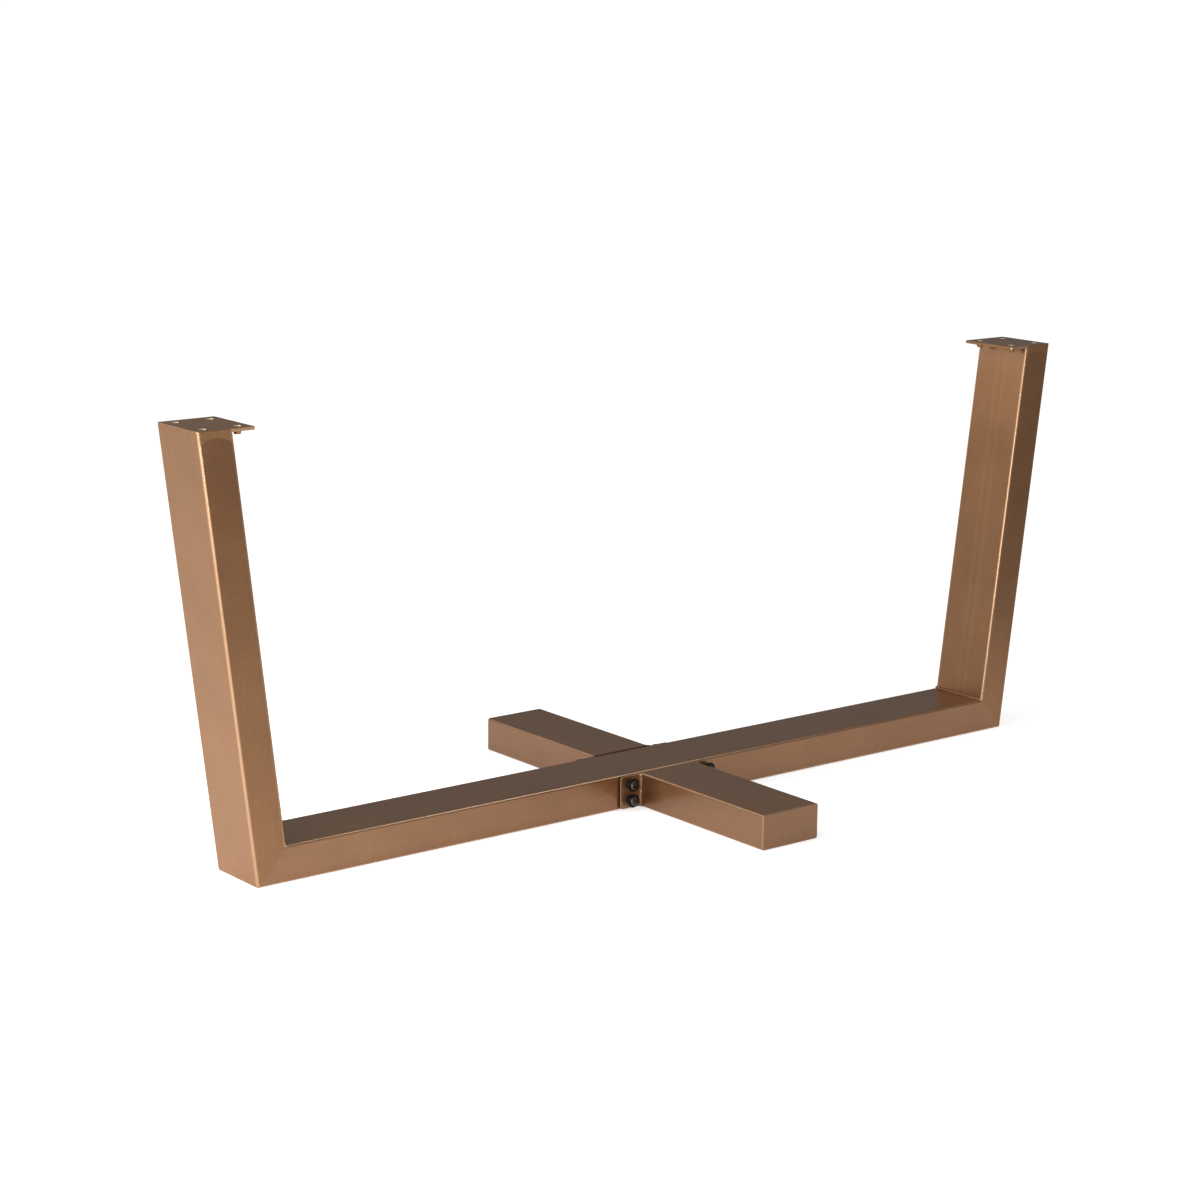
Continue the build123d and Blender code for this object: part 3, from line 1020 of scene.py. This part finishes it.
def beadTree():
    tree, given, made = newTree("weldBead", {
        "Roots": "Geometry", "Length": 0.057, "Leg Size": 0.004, "Opening": pi / 2,
        "Ripple Pitch": 0.002, "Ripple Depth": 0.1, "Lump Size": 0.005, "Lump Height": 0.0005,
        "End Swell": 0.3, "Seed": 1.0, "Finish": "Material"})

    length, legSize, pitch = (given.outputs[k] for k in ("Length", "Leg Size", "Ripple Pitch"))
    half = addNode(tree, maths, "MULTIPLY", [length, 0.5])
    below = addNode(tree, maths, "MULTIPLY", [half, -1.0])
    low = addNode(tree, "ShaderNodeCombineXYZ", inputs={"Z": below})
    high = addNode(tree, "ShaderNodeCombineXYZ", inputs={"Z": half})
    line = addNode(tree, "GeometryNodeCurvePrimitiveLine", inputs={"Start": low, "End": high})
    spacing = addNode(tree, maths, "DIVIDE", [pitch, 6.0])  # six sections to a ripple
    path = addNode(tree, "GeometryNodeResampleCurve", {"mode": "LENGTH"}, {"Curve": line, "Length": spacing})
    along = addNode(tree, "GeometryNodeSplineParameter")
    wave = along.outputs["Length"]
    for operation, *rest in (("MULTIPLY", 2 * pi), ("DIVIDE", pitch), ("SINE",),
                             ("MULTIPLY", given.outputs["Ripple Depth"])):
        wave = addNode(tree, maths, operation, [wave, *rest])
    # Each end swells where the torch started and stopped
    toEnd = along.outputs["Factor"]
    for operation, *rest in (("SUBTRACT", 0.5), ("ABSOLUTE",), ("MULTIPLY_ADD", -1.0, 0.5),
                             ("MULTIPLY", length), ("DIVIDE", legSize)):
        toEnd = addNode(tree, maths, operation, [toEnd, *rest])
    scale = toEnd
    for operation, *rest in (("MULTIPLY", toEnd), ("MULTIPLY", -2.0), ("EXPONENT",),
                             ("MULTIPLY", given.outputs["End Swell"]), ("ADD", wave), ("ADD", 1.0)):
        scale = addNode(tree, maths, operation, [scale, *rest])
    section = addNode(tree, "GeometryNodeCurveArc", inputs={
        "Radius": legSize, "Sweep Angle": given.outputs["Opening"], "Resolution": 9, "Connect Center": True})
    bead = addNode(tree, "GeometryNodeCurveToMesh", inputs={
        "Curve": path, "Profile Curve": section, "Scale": scale, "Fill Caps": True})
    turn = addNode(tree, "GeometryNodeInputNamedAttribute", {"data_type": "FLOAT_VECTOR"}, {"Name": "turn"})
    placed = addNode(tree, "GeometryNodeInstanceOnPoints", inputs={
        "Points": given.outputs["Roots"], "Instance": bead, "Rotation": turn.outputs["Attribute"]})
    solid = addNode(tree, "GeometryNodeRealizeInstances", inputs={"Geometry": placed})
    fine = addNode(tree, maths, "DIVIDE", [1.0, given.outputs["Lump Size"]])
    lumps = addNode(tree, "ShaderNodeTexNoise", {"noise_dimensions": "4D"}, {
        "W": given.outputs["Seed"], "Scale": fine, "Detail": 3.0})
    full = addNode(tree, maths, "MULTIPLY", [given.outputs["Lump Height"], 4.0])
    rise = addNode(tree, maths, "SUBTRACT", [lumps, 0.45])
    rise = addNode(tree, maths, "MULTIPLY", [rise, full])
    normal = addNode(tree, "GeometryNodeInputNormal")
    shift = addNode(tree, "ShaderNodeVectorMath", "SCALE", {0: normal, "Scale": rise})
    rough = addNode(tree, "GeometryNodeSetPosition", inputs={"Geometry": solid, "Offset": shift})
    painted = addNode(tree, "GeometryNodeSetMaterial", inputs={
        "Geometry": rough, "Material": given.outputs["Finish"]})
    tree.links.new(painted.outputs[0], made.inputs[0])
    return tree


def rootMesh(name, places):  # one vertex for each bead, with the turn that lays it in its corner
    mesh = bpy.data.meshes.new(name)
    mesh.from_pydata([place for place, turn in places], [], [])
    attribute = mesh.attributes.new("turn", "FLOAT_VECTOR", "POINT")
    for k, (place, turn) in enumerate(places):
        attribute.data[k].vector = turn
    return mesh


def crookPoint(u, side):
    lean = leanOf(u)
    x = u["footLength"] / 2 + tan(lean) * u["tubeHeight"] - u["tubeHeight"] / cos(lean)
    return Vector((side * x, 0, u["tubeHeight"])), lean


def makeWelds(w, a, u):
    tree = beadTree()
    common = {
        "Leg Size": w["legSize"] * mm, "Ripple Pitch": w["ripplePitch"] * mm, "Ripple Depth": w["rippleDepth"],
        "Lump Size": w["lumpSize"] * mm, "Lump Height": w["lumpHeight"] * mm, "End Swell": w["endSwell"],
        "Finish": railBronze}
    quarter = {  # the turn that lays a bead in each corner between arm and flange
        ("rear", "right"): 0.0, ("rear", "left"): pi / 2, ("front", "left"): pi, ("front", "right"): -pi / 2}
    roots = []
    for (end, hand), angle in quarter.items():
        x = a["width"] / 2 * (1 if hand == "right" else -1)
        y = a["start"] * (1 if end == "rear" else -1)
        roots.append(((x * mm, y * mm, a["height"] / 2 * mm), (0.0, 0.0, angle)))
    beads = runTree("armWelds", tree, {
        **common, "Length": w["armLength"] * mm, "Opening": pi / 2, "Seed": w["armSeed"]},
        rootMesh("armWeldRoots", roots))
    smoothCorners(beads, limit=w["smoothing"])
    newPiece("armWelds", beads, railBronze, [f"{end}_arm_weld_{hand}" for end, hand in quarter])

    crook, lean = crookPoint(u, 1)
    lie = Matrix(((-1, 0, 0), (0, 0, 1), (0, 1, 0))).transposed().to_euler()
    bead = runTree("rightCornerWeld", tree, {
        **common, "Leg Size": w["cornerLegSize"] * mm, "Lump Height": w["cornerLumpHeight"] * mm,
        "Length": w["cornerLength"] * mm, "Opening": pi / 2 + lean, "Seed": w["cornerSeed"]},
        rootMesh("cornerWeldRoot", [(crook * mm, tuple(lie))]))
    smoothCorners(bead, limit=w["smoothing"])
    newPiece("rightCornerWeld", bead, railBronze, ["right_corner_weld"])


# The left corner's weld was ground to a smooth hollow that runs out into the faces of the tube
def makeGroundWeld(w, u):
    crook, lean = crookPoint(u, -1)
    radius, steps = w["groundRadius"], w["groundSteps"]
    onRail, onLeg = Vector((1, 0)), Vector((-sin(lean), cos(lean)))
    middle = (onRail + onLeg).normalized()
    halfOpening = (pi / 2 + lean) / 2
    bm = bmesh.new()
    rings = []
    for inset, y in tubeSection(u["tubeWidth"], u["cornerRadius"], u["cornerSteps"]):
        hollow = radius + inset
        root = Vector((crook.x, crook.z)) - middle * (inset / sin(halfOpening))
        reach = hollow / tan(halfOpening)
        centre = root + middle * (hollow / sin(halfOpening))
        start, stop = root + onRail * reach - centre, root + onLeg * reach - centre
        first, last = atan2(start.y, start.x), atan2(stop.y, stop.x)
        turn = (last - first + pi) % (2 * pi) - pi
        ring = [root - middle * w["rootDepth"]]
        for k in range(steps + 1):
            angle = first + turn * k / steps
            ring.append(centre + Vector((cos(angle), sin(angle))) * hollow)
        rings.append([bm.verts.new((p.x * mm, y * mm, p.y * mm)) for p in ring])
    joinRings(bm, rings)
    for ring in (rings[0], rings[-1]):
        bm.faces.new(ring)
    newPiece("leftCornerWeld", closeMesh("leftCornerWeld", bm), railBronze, ["left_corner_weld"])


makeWelds(weld, arm, uFrame)
makeGroundWeld(weld, uFrame)
print("welds made")

# Plain white paper floor in a softly lit room; sizes in metres
studio = {
    "floorHalfSize": 250.0,
    "floorDrop": 0.0004,  # just under the base, so that the two never share a plane
    "paper": "#E7E7E7",
    "sky": "#FFFFFF",
    "nearGlow": 0.58,
    "farGlow": 0.88,
    "nearReach": 0.4,
    "farReach": 3.5,
    "shadeAcross": (0.649, -0.793, 0.0),  # the way in which the floor falls off, and how far out
    "shadeFrom": 1.03,
    "shadeTo": 1.45,
    "shadeLevel": 0.3,
    "worldLevel": 0.23,
}


def floorPaper():
    material, tree, place = newMaterial("whiteStudioPaper")
    rays = addNode(tree, "ShaderNodeLightPath").outputs
    seen = addNode(tree, maths, "MAXIMUM", [rays["Is Camera Ray"], rays["Is Glossy Ray"]])
    seen = addNode(tree, maths, "MAXIMUM", [seen, rays["Is Transmission Ray"]])
    # The lamps light the middle of the floor, so its own glow rises outwards and all of it looks white
    reach = addNode(tree, "ShaderNodeVectorMath", "LENGTH", [place]).outputs["Value"]
    level = addNode(tree, "ShaderNodeMapRange", inputs={
        "Value": reach, "From Min": studio["nearReach"], "From Max": studio["farReach"],
        "To Min": studio["nearGlow"], "To Max": studio["farGlow"]})
    # Painted shade: to the right, away from the lamps, the floor's glow is turned down to a pale grey
    across = addNode(tree, "ShaderNodeVectorMath", "DOT_PRODUCT", [place, studio["shadeAcross"]])
    shade = addNode(tree, "ShaderNodeMapRange", {"interpolation_type": "SMOOTHSTEP"}, {
        "Value": across.outputs["Value"], "From Min": studio["shadeFrom"], "From Max": studio["shadeTo"],
        "To Min": 1.0, "To Max": studio["shadeLevel"]})
    fallen = addNode(tree, maths, "MULTIPLY", [level, shade])
    strength = addNode(tree, maths, "MULTIPLY", [seen, fallen])
    glow = addNode(tree, "ShaderNodeEmission", inputs={"Strength": strength})
    paper = addNode(tree, "ShaderNodeBsdfDiffuse", inputs={"Color": linearColour(studio["paper"])})
    surface = addNode(tree, "ShaderNodeAddShader", inputs=[glow, paper])
    addNode(tree, "ShaderNodeOutputMaterial", inputs={"Surface": surface})
    return material


def makeFloor():
    s, low = studio["floorHalfSize"], -studio["floorDrop"]
    mesh = bpy.data.meshes.new("studioFloor")
    mesh.from_pydata([(-s, -s, low), (s, -s, low), (s, s, low), (-s, s, low)], [], [(0, 1, 2, 3)])
    mesh.materials.append(floorPaper())
    floor = addObject("studioFloor", mesh)


def makeWorld():
    world = bpy.data.worlds.new("softRoom")
    bpy.context.scene.world = world
    world.use_nodes = True
    tree = world.node_tree
    tree.nodes.clear()
    sky = addNode(tree, "ShaderNodeBackground", inputs={
        "Color": linearColour(studio["sky"]), "Strength": studio["worldLevel"]})
    addNode(tree, "ShaderNodeOutputWorld", inputs={"Surface": sky})


# Each soft box: its place, the point it faces, width and height in metres, and power in watts
lamps = {
    "corner": ((-3.4, -2.6, 0.9), (-0.2, 0.0, 0.3), 0.8, 1.4, 25.5),
    "edgeLeft": ((-3.0, -1.3, 0.35), (-0.9, 0.0, 0.4), 0.5, 0.7, 9.0),
    "edgeRight": ((-2.0, -2.9, 0.35), (0.85, 0.0, 0.5), 0.4, 0.6, 36.0),
    "lowLeft": ((-2.4, -0.7, 0.35), (-0.85, 0.0, 0.15), 1.2, 0.5, 2.5),
    "floorSide": ((-1.5, -0.15, 0.7), (-1.0, 0.0, 0.0), 0.4, 0.4, 8.5),
    "overRail": ((-1.1, 0.9, 2.0), (-0.1, -0.2, 0.0), 0.5, 0.5, 16.0),
    "aboveLeft": ((-1.25, -0.3, 2.6), (-0.8, 0.0, 0.0), 1.2, 1.2, 7.0),
    "aboveRight": ((1.1, -0.6, 2.2), (-0.3, 0.0, 0.06), 0.8, 0.8, 10.0),
    "backHigh": ((-1.8, 2.2, 1.4), (-0.2, 0.0, 0.3), 1.2, 1.2, 13.0),
    "aboveCamera": ((-2.0, -3.4, 2.8), (0.0, 0.0, 0.3), 1.2, 0.8, 12.0),
}


def makeLamps():
    for name, (place, aim, width, height, power) in lamps.items():
        data = bpy.data.lights.new(name, "AREA")
        data.shape = "RECTANGLE"
        data.size = width
        data.size_y = height
        data.energy = power
        lamp = addObject(name, data)
        lamp.location = place
        lamp.rotation_euler = (Vector(aim) - Vector(place)).to_track_quat("-Z", "Y").to_euler()


makeFloor()
makeWorld()
makeLamps()
print("studio made")

bpy.context.scene.view_settings.view_transform = "Standard"
